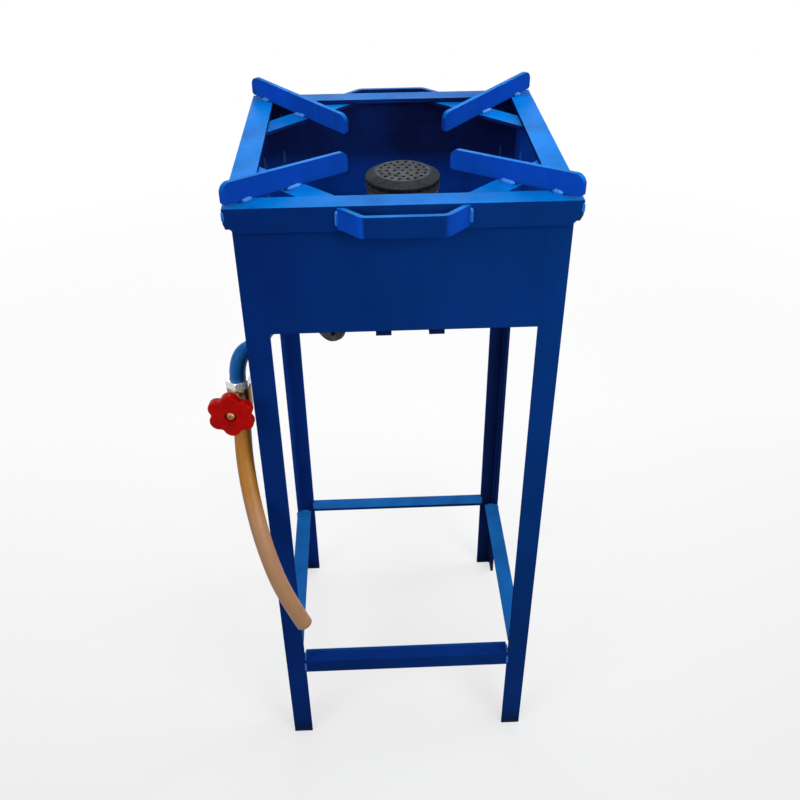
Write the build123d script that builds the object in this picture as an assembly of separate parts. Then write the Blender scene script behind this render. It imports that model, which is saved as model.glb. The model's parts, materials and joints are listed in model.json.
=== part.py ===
from build123d import *
import os
from math import sqrt, sin, cos, tan, atan2, radians, degrees, pi

# Free-standing gas burner stove: a square stand welded from steel angle, with
# skirt panels, four sloping pot supports, a cast burner on two cross bars and
# a gas line that leaves the stand past the front left leg.
# Millimetres, +Z up, floor at Z = 0, front towards -Y.

# Stand
stove_w = 254.0           # outside width of the square rim
stove_h = 610.0           # floor to the top of the rim
rim_flange = 19.0         # width of the rim angle's top flange
rim_drop = 19.0           # height of the rim angle's outer flange
rim_t = 4.0               # thickness of the rim angle
corner_snip = 8.0         # bevel on the lower outer corners of the rim
rim_gap = 1.0             # weld gap between the rim and what it goes round
rim_root_r = 0.8          # inner root radius of the rim, inside the weld gap
leg_w = 19.0              # width of each leg flange
leg_t = 3.0
root_r = 2.0              # inner root radius of rolled angle
toe_r = 1.0               # toe radius of rolled angle
skirt_h = 101.0           # height of the skirt below the rim's top flange
skirt_t = 1.5
rail_w = 16.0             # angle of the lower rails
rail_t = 3.0
rail_top = 116.0          # floor to the top of the lower rails

# Pot supports and the corner gussets that carry them
gusset_w = 20.0
gusset_t = 3.0
gusset_r = 124.0          # stove axis to the outer edge of a gusset
gusset_lap = 8.0          # how far a gusset goes under the rim
bar_h = 16.0              # height of a pot support bar on edge
bar_t = 4.0
bar_in = 58.0             # stove axis to the inner end
bar_out = 178.0           # stove axis to the outer end
bar_round = 7.0           # rounded upper corners
bar_nose = 2.5            # rounded lower corners

# Handles
handle_h = 16.0
handle_t = 4.0
handle_reach = 18.0       # rim face to the front of the handle
handle_foot = 47.0        # half length at the rim
handle_grip = 30.0        # half length of the straight grip
handle_bend = 5.0
handle_drop = 1.0         # rim top to the handle's top edge

# Burner bars and burner casting
burner_x = 4.5            # burner axis, to the right of the stove's middle
cross_w = 12.0
cross_t = 4.0
cross_pitch = 41.0        # between the two cross bars
bolt_d = 6.0
bolt_play = 0.5           # hole larger than its bolt
bolt_head_h = 4.0
bolt_af = 10.0
nut_h = 5.0
bolt_proud = 2.0          # bolt end past its nut
ear_t = 6.0
collar_w = 4.0            # collar of the ears round the neck
neck_r = 12.5             # outer radius of the burner's neck
neck_bore = 9.5
ear_w = 18.0
bowl_r = 29.5             # outer radius of the burner bowl
bowl_wall = 4.0
bowl_flare = 38.0         # height over which the neck opens to the bowl
bowl_h = 66.0             # top of the ears to the top of the bowl
lip_h = 4.0
lip_out = 1.5
flare_from = 2.0          # ears to the start of the flare, outside
bore_from = 6.0           # and inside
flare_lean = 0.55         # how far the flare leans out as it starts
flare_pull = 1.2
drop = 23.0               # from the skirt's edge down to the mixing tube
elbow_r = 22.0
throat_r = 10.5           # outer radius at the throat
tube_wall = 3.0
throat_from = 38.0        # distances along the mixing tube
throat_to = 56.0
mouth_at = 84.6
mouth_r = 27.0
mouth_lip = 3.6
mouth_step = 2.0          # from the tube's flare out to its lip
plate_t = 4.0             # mouth plate that carries the injector
hub_r = 9.0
hub_l = 8.6
air_in = 10.0             # inner radius of the air openings
air_out = 22.0
room_gap = 0.6            # the room behind the plate, wider than the openings
air_open = 55.0           # degrees of each air opening
air_count = 3

# Burner head
head_edge = 4.0           # thickness of the head's edge
head_crown = 4.0          # rise of the crown over the edge
head_plate = 4.0
head_flat = 22.0          # radius of the flat crown
head_rise = 0.5           # edge of the hollow under the crown
crown_edge = 1.0
hollow_in = 2.0
spigot_h = 5.0
spigot_wall = 3.0
head_play = 0.3           # running gap of the spigot in the bowl
port_d = 3.0
port_rings = (0.0, 7.0, 13.0, 19.0)
ring_ports = 6            # ports more in each ring than in the one inside it
slot_count = 24
slot_w = 1.6
slot_h = 2.2

# Air shutter, injector and feed pipe
shutter_t = 1.6
shutter_r = 26.5
shutter_gap = 0.2         # air gap on each face of the shutter
shutter_tab = 7.0
shutter_tab_w = 9.0
tab_lap = 1.0             # how far the tab runs into the disc
run_fit = 0.05            # radial running clearance
inj_r = 6.0
inj_bore = 2.5
inj_in = 4.0              # injector end past the mouth plate's hub
lock_t = 5.0
lock_af = 19.0
lock_room = 6.0           # thread left between the lock nut and the hexagon
inj_hex = 17.0
inj_hex_t = 6.0
socket_t = 10.0
socket_deep = 8.0
socket_wall = 2.3
jet_af = 8.0
jet_hex_t = 4.0
jet_cone = 3.0
jet_r = 3.0
jet_in = 5.0
jet_bore = 1.5
jet_nose = 1.6
jet_step = 0.4
jet_hole = 0.6
pipe_r = 6.75
pipe_wall = 1.75
pipe_bend = 20.0

# Gas valve
valve_x = 14.0            # leg's outer face to the valve's axis
valve_y = 22.4            # leg's front face back to the valve's axis
valve_drop = 45.0         # mixing tube down to the spindle
valve_turn = 6.0          # degrees that the spindle points left of straight ahead
body_r = 10.0
body_edge = 1.0
shoulder = 0.5            # boss to the shoulder that the union nut meets
body_down = 13.0          # spindle down to the foot
nipple_r = 8.0
nipple_h = 4.0
ferrule_h = 1.0
ferrule_play = 0.3
union_af = 18.0
union_h = 7.0
boss_r = 6.5
boss_at = 16.0            # valve axis to the boss face
chamber_r = 4.5
chamber_from = 0.5
seat_r = 1.5
seat_room = 0.5           # the seat's drilling into the inlet passage
passage_r = 1.9
inlet_back = 3.8
outlet_fore = 4.5
outlet_r = 2.5
foot_r = 6.0
foot_deep = 7.0
gland_af = 15.0
gland_t = 7.5
spindle_r = 3.0
collar_t = 1.5
collar_play = 0.3
tongue_w = 2.0
tongue_l = 5.0
tongue_h = 6.0
needle_lift = 2.0         # travel of the needle from shut to open
needle_play = 0.2         # gap left in the tongue's slot when open
needle_r = 3.0
needle_tip = 2.5          # cone inside the seat when shut
needle_cone = 30.0        # half angle of the cone
needle_neck = 3.3
needle_guide = 4.2        # guided length in front of the slot
knob_gap = 1.4            # gland nut to the knob's back
knob_t = 11.0
knob_rim_t = 8.0
knob_hub_r = 8.0
knob_hub_in = 1.0         # hub end behind the knob's face
knob_lobes = 6
knob_lobe_r = 7.5
knob_r = 19.5             # over the lobes
knob_waist = 3.0          # radius of the hollows between the lobes
knob_phase = 30.0
knob_edge = 2.0           # rounding of the front edge
knob_back_edge = 1.0
screw_r = 2.0
screw_head_r = 3.6
screw_head_t = 2.2
screw_l = 8.0
screw_cut = 0.8
screw_dome = 1.4
screw_play = 0.2          # drilling past the screw's end
well_r = 5.0              # well in the knob's face for the screw
web_t = 0.6               # knob's web under the screw's head
spindle_in = 3.0          # spindle end behind the knob's face

# Hose barb and hose
barb_af = 15.0
barb_hex_t = 4.0
barb_r = 4.2
barb_ridge = 0.6
barb_l = 20.0
barb_bore = 2.2
ridge_count = 3
ridge_fall = 0.6          # share of the pitch that a ridge falls over
barb_seat = 0.5           # gap above the spigot in the valve's foot
hose_r = 7.5
hose_bore = 4.5
bend_share = 0.45         # share of the shorter run that a bend takes at each end

# Shared by several pieces
hex_face = 0.53           # radius of a hexagon's end face, in widths across flats
hex_corner = 0.01         # clearance of the corner that its bevel leaves
hex_bevel = 0.08          # length of the bevel, in widths across flats
over = 1.0                # how far a cut runs past a face
tiny = 0.01

# Derived places
half = stove_w / 2
rim_in = half - rim_flange
under = stove_h - rim_t
face = half - rim_t - rim_gap
skirt_x = face - leg_w
skirt_z = under - skirt_h
ears_z = skirt_z + ear_t
bowl_top = ears_z + bowl_h
tube_z = skirt_z - drop
vx = -(face + valve_x)
vy = -(face - valve_y)
vz = tube_z - valve_drop
body_up = boss_r + shoulder
bolt_x = cross_pitch / 2
bolt_hole_r = (bolt_d + bolt_play) / 2
line_angle = degrees(atan2(vy, vx - burner_x))
line_len = sqrt((vx - burner_x) ** 2 + vy ** 2)
shut_at = mouth_at + shutter_gap
lock_at = shut_at + shutter_t + shutter_gap
hex_at = lock_at + lock_t + lock_room
socket_at = hex_at + inj_hex_t
pipe_at = socket_at + socket_t - socket_deep
union_z = vz + body_up
nipple_top = union_z + nipple_h

parts = {}


def quarter(shape, k):
    """The same piece on another side of the square stand."""
    return Rot(0, 0, 90 * k) * shape


def at_points(face_, points):
    """The corners of a flat face that lie on the given points."""
    found = []
    for corner in face_.vertices():
        if any((corner.center() - Vector(*point)).length < tiny for point in points):
            found.append(corner)
    return found


def angle_face(points, root, toes, plane, radius=root_r):
    """Angle section with its rolled root and toes rounded."""
    section = make_face(Polyline(*points, close=True))
    section = fillet(at_points(section, [root]), radius)
    return plane * fillet(at_points(section, toes), toe_r)


def hexagon(af):
    return RegularPolygon(af / 2, 6, major_radius=False)


def ring(r_out, r_in, x0, x1):
    """Tube along +X between two stations."""
    tube = Cylinder(r_out, x1 - x0) - Cylinder(r_in, x1 - x0)
    return Pos((x0 + x1) / 2, 0, 0) * Rot(0, 90, 0) * tube


def rod(radius, x0, x1):
    """Round bar along +X between two stations."""
    return Pos((x0 + x1) / 2, 0, 0) * Rot(0, 90, 0) * Cylinder(radius, x1 - x0)


def post(radius, z0, z1):
    """Round bar along +Z between two heights."""
    return Pos(0, 0, (z0 + z1) / 2) * Cylinder(radius, z1 - z0)


def turned(points, plane=Plane.XZ, axis=Axis.Z):
    return revolve(plane * make_face(Polyline(*points, close=True)), axis)


def bevelled(af, x0, x1):
    """Outline that takes the corners off both ends of a hexagon, from its axis outwards."""
    corner = af / sqrt(3) + hex_corner
    face_r = hex_face * af
    bevel = hex_bevel * af
    return [(x0, 0), (x0, face_r), (x0 + bevel, corner), (x1 - bevel, corner), (x1, face_r), (x1, 0)]


def hex_along_x(af, x0, x1, bore):
    bar = extrude(Plane.YZ * (hexagon(af) - Circle(bore)), x1 - x0)
    return (Pos(x0, 0, 0) * bar) & turned(bevelled(af, x0, x1), axis=Axis.X)


def hex_along_z(af, z0, z1):
    points = [(r, z) for z, r in bevelled(af, z0, z1)]
    return (Pos(0, 0, z0) * extrude(hexagon(af), z1 - z0)) & turned(points)


def line(shape):
    """From the mixing tube's own frame to the stove: +X runs out along the gas line."""
    return Pos(burner_x, 0, tube_z) * Rot(0, 0, line_angle) * shape


def stem(shape):
    """From the valve's upright axis to the stove, with its spindle along +X."""
    return Pos(vx, vy, 0) * Rot(0, 0, -90 - valve_turn) * shape


def valve(shape):
    """From the valve's own frame to the stove: +X runs along the spindle to the front."""
    return Pos(0, 0, vz) * stem(shape)


# Rim: four mitred lengths of angle, top flange inwards
rim_points = [(-half, stove_h), (-rim_in, stove_h), (-rim_in, under),
              (-half + rim_t, under), (-half + rim_t, stove_h - rim_drop), (-half, stove_h - rim_drop)]
rim_section = angle_face(rim_points, (-half + rim_t, under),
                         [(-rim_in, under), (-half + rim_t, stove_h - rim_drop)], Plane.YZ, rim_root_r)
rim = extrude(rim_section, half, both=True)
mitre = make_face(Polyline((0, 0), (-2 * half, -2 * half), (2 * half, -2 * half), close=True))
rim = rim & (Pos(0, 0, stove_h - 2 * rim_drop) * extrude(mitre, 3 * rim_drop))
low = stove_h - rim_drop
snip = make_face(Polyline((half + over, low - over), (half - corner_snip - over, low - over),
                          (half + over, low + corner_snip + over), close=True))
snip = Pos(0, -half + rim_t + over, 0) * extrude(Plane.XZ * snip, rim_t + 2 * over)
rim = rim - snip - mirror(snip, Plane.YZ)
sides = ("front", "right", "rear", "left")
for k, side in enumerate(sides):
    parts["rim_" + side] = quarter(rim, k)

# Legs: angle, corner outwards, from the floor to the rim's underside
leg_points = [(-face, -face), (-face + leg_w, -face), (-face + leg_w, -face + leg_t),
              (-face + leg_t, -face + leg_t), (-face + leg_t, -face + leg_w), (-face, -face + leg_w)]
leg_section = angle_face(leg_points, (-face + leg_t, -face + leg_t),
                         [(-face + leg_w, -face + leg_t), (-face + leg_t, -face + leg_w)], Plane.XY)
leg = extrude(leg_section, under)
corners = ("front_left", "front_right", "rear_right", "rear_left")
for k, corner in enumerate(corners):
    parts["leg_" + corner] = quarter(leg, k)

# Skirt panels, flush with the legs and butted to their toes
skirt = Pos(0, -face + skirt_t / 2, skirt_z + skirt_h / 2) * Box(2 * skirt_x, skirt_t, skirt_h)
for k, side in enumerate(sides):
    parts["skirt_" + side] = quarter(skirt, k)

# Lower rails: angle with its top flange inwards, butted to the legs' toes
rail_low = rail_top - rail_w
rail_points = [(-face, rail_top), (-face + rail_w, rail_top), (-face + rail_w, rail_top - rail_t),
               (-face + rail_t, rail_top - rail_t), (-face + rail_t, rail_low), (-face, rail_low)]
rail_section = angle_face(rail_points, (-face + rail_t, rail_top - rail_t),
                          [(-face + rail_w, rail_top - rail_t), (-face + rail_t, rail_low)], Plane.YZ)
rail = extrude(rail_section, skirt_x, both=True)
for k, side in enumerate(sides):
    parts["rail_" + side] = quarter(rail, k)

# Gussets: flat bars across the corners, under the rim's top flange
lap = rim_in + gusset_lap
outer_sum = gusset_r * sqrt(2)
inner_sum = (gusset_r - gusset_w) * sqrt(2)
gusset = make_face(Polyline((-lap, lap - outer_sum), (lap - outer_sum, -lap),
                            (lap - inner_sum, -lap), (-lap, lap - inner_sum), close=True))
gusset = Pos(0, 0, under - gusset_t) * extrude(gusset, gusset_t)
for k, corner in enumerate(corners):
    parts["gusset_" + corner] = quarter(gusset, k)

# Pot supports: flat bars on edge, resting on the rim's inner corner and on the
# gusset's inner edge, so that they slope down towards the flame
seat_out = rim_in * sqrt(2) - bar_t / 2
seat_in = gusset_r - gusset_w
slope = rim_t / (seat_out - seat_in)


def foot_z(r):
    """Height of a pot support's lower edge at a distance from the stove's axis."""
    return stove_h + slope * (r - seat_out)


bar_points = [(bar_in, foot_z(bar_in)), (bar_out, foot_z(bar_out)),
              (bar_out, foot_z(bar_out) + bar_h), (bar_in, foot_z(bar_in) + bar_h)]
bar = make_face(Polyline(*bar_points, close=True))
bar = fillet(at_points(bar, bar_points[:2]), bar_nose)
bar = fillet(at_points(bar, bar_points[2:]), bar_round)
bar = extrude(Plane.XZ * bar, bar_t / 2, both=True)
for k, corner in enumerate(corners):
    parts["pot_support_" + corner] = Rot(0, 0, 225 + 90 * k) * bar

# Handles: flat bar bent to a shallow tray shape, welded to the rim's face
run = handle_foot - handle_grip
slant = sqrt(run ** 2 + handle_reach ** 2)
foot_in = handle_foot - handle_t * slant / handle_reach
grip_in = foot_in - run * (handle_reach - handle_t) / handle_reach
outer = make_face(Polyline((-handle_foot, 0), (-handle_grip, -handle_reach),
                           (handle_grip, -handle_reach), (handle_foot, 0), close=True))
outer = fillet(outer.vertices().sort_by(Axis.Y)[:2], handle_bend + handle_t)
inner = make_face(Polyline((-foot_in, 0), (-grip_in, handle_t - handle_reach),
                           (grip_in, handle_t - handle_reach), (foot_in, 0), close=True))
inner = fillet(inner.vertices().sort_by(Axis.Y)[:2], handle_bend)
handle = Pos(0, -half, stove_h - handle_drop - handle_h) * extrude(outer - inner, handle_h)
parts["handle_front"] = handle
parts["handle_rear"] = quarter(handle, 2)

# Cross bars under the skirt's lower edge
for name, sign in (("cross_bar_left", -1), ("cross_bar_right", 1)):
    flat = Pos(burner_x + sign * bolt_x, 0, skirt_z - cross_t / 2) * Box(cross_w, 2 * face, cross_t)
    hole = Pos(burner_x + sign * bolt_x, 0, skirt_z) * Cylinder(bolt_hole_r, 3 * cross_t)
    parts[name] = flat - hole

# Burner casting: bowl, ears, neck, elbow and mixing tube with its mouth plate
neck_z = tube_z + elbow_r
bowl_in = bowl_r - bowl_wall
flare_z = ears_z + bowl_flare


def bowl_section(bottom, neck, start, wall_r, end, top):
    """Solid from the neck's bottom, up the flare and the wall, to the points of the top."""
    with BuildSketch(Plane.XZ) as section:
        with BuildLine():
            Polyline((0, bottom), (neck, bottom), (neck, start))
            Spline((neck, start), (wall_r, end), tangents=((flare_lean, 1), (0, 1)),
                   tangent_scalars=(flare_pull, flare_pull))
            Polyline((wall_r, end), *top, (0, bottom))
        make_face()
    return revolve(section.sketch, Axis.Z)


lip = [(bowl_r, bowl_top - 2 * lip_h), (bowl_r + lip_out, bowl_top - lip_h),
       (bowl_r + lip_out, bowl_top), (0, bowl_top)]
casting = bowl_section(neck_z, neck_r, ears_z + flare_from, bowl_r, flare_z, lip)
ears = SlotOverall(cross_pitch + ear_w, ear_w) + Circle(neck_r + collar_w)
casting += Pos(0, 0, skirt_z) * extrude(ears, ear_t)
casting -= bowl_section(neck_z - over, neck_bore, ears_z + bore_from, bowl_in, flare_z + flare_from,
                        [(bowl_in, bowl_top + over), (0, bowl_top + over)])
for sign in (-1, 1):
    casting -= Pos(sign * bolt_x, 0, ears_z) * Cylinder(bolt_hole_r, 3 * ear_t)
casting = Pos(burner_x, 0, 0) * casting

# The mixing tube in its own frame: +X outwards, Z = 0 on its axis
bend = Plane.XZ * JernArc((0, elbow_r), (0, -1), elbow_r, 90)
bend_end = Plane((0, 0, elbow_r), z_dir=(0, 0, -1), x_dir=(1, 0, 0))
elbow = sweep(bend_end * Circle(neck_r), path=bend)
elbow_hole = sweep(bend_end * Circle(neck_bore), path=bend)
lip_at = mouth_at - mouth_lip
with BuildSketch(Plane.XZ) as mixer_half:
    with BuildLine():
        Polyline((elbow_r, 0), (elbow_r, neck_r), (throat_from, throat_r), (throat_to, throat_r))
        Spline((throat_to, throat_r), (lip_at, mouth_r - mouth_step), tangents=((1, 0), (flare_lean, 1)))
        Polyline((lip_at, mouth_r - mouth_step), (lip_at, mouth_r), (mouth_at, mouth_r), (mouth_at, 0),
                 (elbow_r, 0))
    make_face()
room_end = mouth_at - plate_t
room_r = air_out + room_gap
with BuildSketch(Plane.XZ) as mixer_room:
    with BuildLine():
        Polyline((elbow_r, 0), (elbow_r, neck_bore), (throat_from, throat_r - tube_wall),
                 (throat_to, throat_r - tube_wall))
        Spline((throat_to, throat_r - tube_wall), (room_end, room_r), tangents=((1, 0), (flare_lean, 1)))
        Polyline((room_end, room_r), (room_end, 0), (elbow_r, 0))
    make_face()
mixer = elbow + revolve(mixer_half.sketch, Axis.X)
mixer -= revolve(mixer_room.sketch, Axis.X)
mixer -= elbow_hole
mixer += ring(hub_r, inj_r, mouth_at - hub_l, mouth_at)
mixer -= rod(inj_r, mouth_at - hub_l - over, mouth_at + over)


def sectors(x0, x1):
    """The air openings, the first one upwards."""
    tube = Circle(air_out) - Circle(air_in)
    half_open = radians(air_open / 2)
    reach = 2 * air_out
    low_edge = (reach * cos(half_open), -reach * sin(half_open))
    high_edge = (reach * cos(half_open), reach * sin(half_open))
    opening = make_face(Polyline((0, 0), low_edge, high_edge, close=True)) & tube
    openings = Rot(0, 0, 90) * opening
    for i in range(1, air_count):
        openings += Rot(0, 0, 90 + 360 / air_count * i) * opening
    return Pos(x0, 0, 0) * extrude(Plane.YZ * openings, x1 - x0)


mixer -= sectors(room_end - over, mouth_at + over)
casting = casting + line(mixer)
casting -= line(elbow_hole)
parts["burner_casting"] = casting

# Bolts through the ears and the cross bars
nut_z = skirt_z - cross_t - nut_h
bolt = post(bolt_d / 2, nut_z - bolt_proud, ears_z)
bolt += Pos(0, 0, ears_z) * extrude(hexagon(bolt_af), bolt_head_h)
nut = Pos(0, 0, nut_z) * extrude(hexagon(bolt_af) - Circle(bolt_d / 2), nut_h)
parts["burner_bolts"] = Pos(burner_x - bolt_x, 0, 0) * bolt + Pos(burner_x + bolt_x, 0, 0) * bolt
parts["burner_nuts"] = Pos(burner_x - bolt_x, 0, 0) * nut + Pos(burner_x + bolt_x, 0, 0) * nut

# Burner head: crowned plate with rings of flame ports and slots under its edge
spigot_r = bowl_in - head_play
crown_z = bowl_top + head_edge + head_crown
hollow_z = crown_z - head_plate
head = turned([(0, bowl_top - spigot_h), (spigot_r, bowl_top - spigot_h), (spigot_r, bowl_top),
               (bowl_r + lip_out, bowl_top), (bowl_r + lip_out, bowl_top + head_edge),
               (head_flat + crown_edge, crown_z), (0, crown_z)])
head -= turned([(0, bowl_top - spigot_h - over), (spigot_r - spigot_wall, bowl_top - spigot_h - over),
                (spigot_r - spigot_wall, bowl_top + head_rise), (head_flat - hollow_in, hollow_z),
                (0, hollow_z)])
for step, radius in enumerate(port_rings):
    count = max(1, ring_ports * step)
    for i in range(count):
        turn = 360.0 / count * i
        head -= Rot(0, 0, turn) * Pos(radius, 0, crown_z) * Cylinder(port_d / 2, 4 * head_plate)
for i in range(slot_count):
    slot = Pos(bowl_r, 0, bowl_top + slot_h / 2) * Box(2 * bowl_wall + 2 * lip_out, slot_w, slot_h)
    head -= Rot(0, 0, 360.0 / slot_count * (i + 0.5)) * slot
parts["burner_head"] = Pos(burner_x, 0, 0) * head

# Air shutter: turns on the injector in front of the mouth plate
shutter = ring(shutter_r, inj_r + run_fit, shut_at, shut_at + shutter_t)
shutter -= sectors(shut_at - over, shut_at + shutter_t + over)
tab_top = shutter_r + shutter_tab
tab_h = shutter_tab + tab_lap
tab = Pos(shut_at + shutter_t / 2, 0, tab_top - tab_h / 2) * Box(shutter_t, shutter_tab_w, tab_h)
grip = Box(shutter_tab, shutter_tab_w, shutter_t)
grip = Pos(shut_at + shutter_tab / 2, 0, tab_top - shutter_t / 2) * grip
parts["air_shutter"] = line(shutter + tab + grip)

# Injector, its jet and its lock nut
inj_from = mouth_at - hub_l - inj_in
socket_end = socket_at + socket_t
injector = ring(inj_r, inj_bore, inj_from, hex_at) + hex_along_x(inj_hex, hex_at, socket_at, inj_bore)
injector += ring(pipe_r + socket_wall, inj_bore, socket_at, socket_end)
injector -= rod(pipe_r, pipe_at, socket_end + over)
injector -= rod(jet_r, inj_from - over, inj_from + jet_in)
injector -= rod(inj_bore, inj_from, pipe_at + over)
parts["injector"] = line(injector)
jet_from = inj_from - jet_hex_t
jet = ring(jet_r, jet_bore, inj_from, inj_from + jet_in) + hex_along_x(jet_af, jet_from, inj_from, jet_bore)
jet += turned([(jet_from - jet_cone, 0), (jet_from - jet_cone, jet_nose),
               (jet_from, jet_af / 2 - jet_step), (jet_from, 0)], axis=Axis.X)
jet -= rod(jet_hole, jet_from - jet_cone - over, inj_from)
parts["jet"] = line(jet)
parts["lock_nut"] = line(hex_along_x(lock_af, lock_at, lock_at + lock_t, inj_r))

# Feed pipe: out of the injector, past the leg and down to the valve
pipe_end = nipple_top + ferrule_h
pipe_drop = tube_z - pipe_end
route = FilletPolyline((pipe_at, 0, 0), (line_len, 0, 0), (line_len, 0, -pipe_drop), radius=pipe_bend)
start = Plane((pipe_at, 0, 0), z_dir=(1, 0, 0), x_dir=(0, 1, 0))
pipe = sweep(start * Circle(pipe_r), path=route)
pipe -= sweep(start * Circle(pipe_r - pipe_wall), path=route)
parts["feed_pipe"] = line(pipe)

# Union: ferrule on the pipe's end and the nut that pulls it down on the valve
pipe_in = pipe_r - pipe_wall
ferrule = turned([(pipe_in, nipple_top), (nipple_r - ferrule_play, nipple_top), (pipe_r, pipe_end),
                  (pipe_in, pipe_end)])
parts["ferrule"] = stem(ferrule)
union = hex_along_z(union_af, union_z, union_z + union_h)
union -= post(pipe_r + run_fit, union_z - over, union_z + union_h + over)
union -= post(nipple_r, union_z - over, pipe_end)
parts["union_nut"] = stem(union)

# Valve body, in the valve's own frame: +X along the spindle, Z = 0 on its axis
body = post(body_r, -body_down, body_up)
body = chamfer(body.edges().filter_by(GeomType.CIRCLE), body_edge)
body += post(nipple_r, body_up, body_up + nipple_h)
body += rod(boss_r, 0, boss_at)
body -= rod(chamber_r, chamber_from, boss_at + over)
body -= rod(seat_r, -inlet_back, chamber_from + over)
body -= Pos(-inlet_back, 0, 0) * post(passage_r, -body_down, seat_r + seat_room)
body -= Pos(outlet_fore, 0, 0) * post(outlet_r, 0, body_up + nipple_h + over)
body -= post(foot_r, -body_down, foot_deep - body_down)
parts["valve_body"] = valve(body)

# Needle: cone on the seat, guided in the chamber, slotted for the spindle's tongue
slot_at = chamber_from + needle_neck + needle_guide
tongue_at = slot_at + needle_lift + needle_play
needle_end = tongue_at + tongue_l - needle_lift - needle_play
cone_x = chamber_from - needle_tip
cone_l = needle_r / tan(radians(needle_cone))
guide_at = cone_x + cone_l + needle_neck
guide_r = chamber_r - run_fit
needle = turned([(cone_x, 0), (cone_x + cone_l, needle_r), (guide_at, needle_r), (guide_at, guide_r),
                 (needle_end, guide_r), (needle_end, 0)], axis=Axis.X)
slot_l = needle_end - slot_at + over
needle -= Pos(slot_at + slot_l / 2, 0, 0) * Box(slot_l, tongue_w + 2 * run_fit, 4 * chamber_r)
parts["valve_needle"] = valve(needle)

# Spindle: tongue, collar held by the gland nut, and the shaft out to the knob
collar_at = tongue_at + tongue_l
gland_from = collar_at + collar_t + collar_play
knob_at = boss_at + gland_t + knob_gap
knob_end = knob_at + knob_t
spindle = turned([(collar_at, 0), (collar_at, guide_r), (collar_at + collar_t, guide_r),
                  (collar_at + collar_t, spindle_r), (knob_end - spindle_in, spindle_r),
                  (knob_end - spindle_in, screw_r), (knob_end - spindle_in - screw_l, screw_r),
                  (knob_end - spindle_in - screw_l, 0)], axis=Axis.X)
spindle += Pos(tongue_at + tongue_l / 2, 0, 0) * Box(tongue_l, tongue_w, tongue_h)
parts["valve_spindle"] = valve(spindle)

# Gland nut on the boss, with the spindle running in its bore
gland = hex_along_x(gland_af, boss_at, boss_at + gland_t, spindle_r + run_fit)
gland -= rod(chamber_r, boss_at - over, max(gland_from, boss_at))
parts["gland_nut"] = valve(gland)

# Knob: lobes with shallow waists, hub behind, well for the screw in the middle
lobe_at = knob_r - knob_lobe_r
knob_face = Circle(lobe_at)
for i in range(knob_lobes):
    turn = knob_phase + 360.0 / knob_lobes * i
    knob_face += Rot(0, 0, turn) * Pos(lobe_at, 0) * Circle(knob_lobe_r)
knob_face = fillet(knob_face.vertices(), knob_waist)
rim_at = knob_end - knob_rim_t
knob_plane = Plane((rim_at, 0, 0), z_dir=(1, 0, 0), x_dir=(0, 1, 0))
knob = extrude(knob_plane * knob_face, knob_rim_t)
knob = fillet(knob.faces().sort_by(Axis.X)[-1].edges(), knob_edge)
knob = fillet(knob.faces().sort_by(Axis.X)[0].edges(), knob_back_edge)
knob += rod(knob_hub_r, knob_at, knob_end - knob_hub_in)
head_at = knob_end - spindle_in + web_t
knob -= rod(well_r, head_at, knob_end + over)
knob -= rod(spindle_r, knob_at - over, knob_end - spindle_in)
knob -= rod(screw_r, knob_at, knob_end + over)
parts["knob"] = valve(knob)

# Knob screw: pan head on the knob's web, shank in the spindle's end
screw_end = head_at - screw_l - screw_play
head_end = head_at + screw_head_t
screw = turned([(screw_end, 0), (screw_end, screw_r), (head_at, screw_r), (head_at, screw_head_r),
                (head_at + screw_head_t / 2, screw_head_r), (head_end, screw_head_r - screw_dome),
                (head_end, 0)], axis=Axis.X)
for turn in (0, 90):
    slot = Pos(head_end, 0, 0) * Box(2 * screw_cut, screw_cut, screw_head_r)
    screw -= Rot(turn, 0, 0) * slot
parts["knob_screw"] = valve(screw)

# Hose barb: spigot in the valve's foot, hexagon and ridged stem
barb_z = vz - body_down
barb_top = barb_z - barb_hex_t
barb = post(foot_r, barb_z, barb_z + foot_deep - barb_seat)
barb += Pos(0, 0, barb_top) * extrude(hexagon(barb_af), barb_hex_t)
barb += post(barb_r, barb_top - barb_l, barb_top)
pitch = barb_l / (ridge_count + 1)
for i in range(ridge_count):
    ridge_z = barb_top - pitch * (i + 1)
    fall_z = ridge_z - pitch * ridge_fall
    barb += turned([(0, ridge_z), (barb_r + barb_ridge, ridge_z), (barb_r, fall_z), (0, fall_z)])
barb -= post(barb_bore, barb_top - barb_l - over, barb_z + foot_deep)
parts["hose_barb"] = stem(barb)

# Hose: hangs free from the barb, out past the leg's corner and in across its face
hose_steps = [(0, 0, 0), (-1.8, -1.6, -34), (-2.0, -17.0, -67), (4.5, -38.5, -97),
              (16.0, -52.0, -129), (29.5, -57.5, -166), (42.0, -57.5, -202)]
hose_points = [(vx + x, vy + y, barb_top + z) for x, y, z in hose_steps]
hose_radii = []
for i in range(1, len(hose_points) - 1):
    run_in = Vector(*hose_points[i]) - Vector(*hose_points[i - 1])
    run_out = Vector(*hose_points[i + 1]) - Vector(*hose_points[i])
    half_turn = radians(run_in.get_angle(run_out)) / 2
    hose_radii.append(bend_share * min(run_in.length, run_out.length) / tan(half_turn))
hose_path = FilletPolyline(*hose_points, radius=hose_radii)
first = Vector(*hose_points[1]) - Vector(*hose_points[0])
hose_start = Plane(hose_points[0], z_dir=tuple(first))
hose = sweep(hose_start * Circle(hose_r), path=hose_path)
hose -= sweep(hose_start * Circle(hose_bore), path=hose_path)
parts["gas_hose"] = hose
print("hose radii", [round(r, 1) for r in hose_radii])
print("hose length", round(hose_path.length, 2))
print("hose volume over section times length",
      round(hose.volume / (pi * (hose_r ** 2 - hose_bore ** 2) * hose_path.length), 5))

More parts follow.
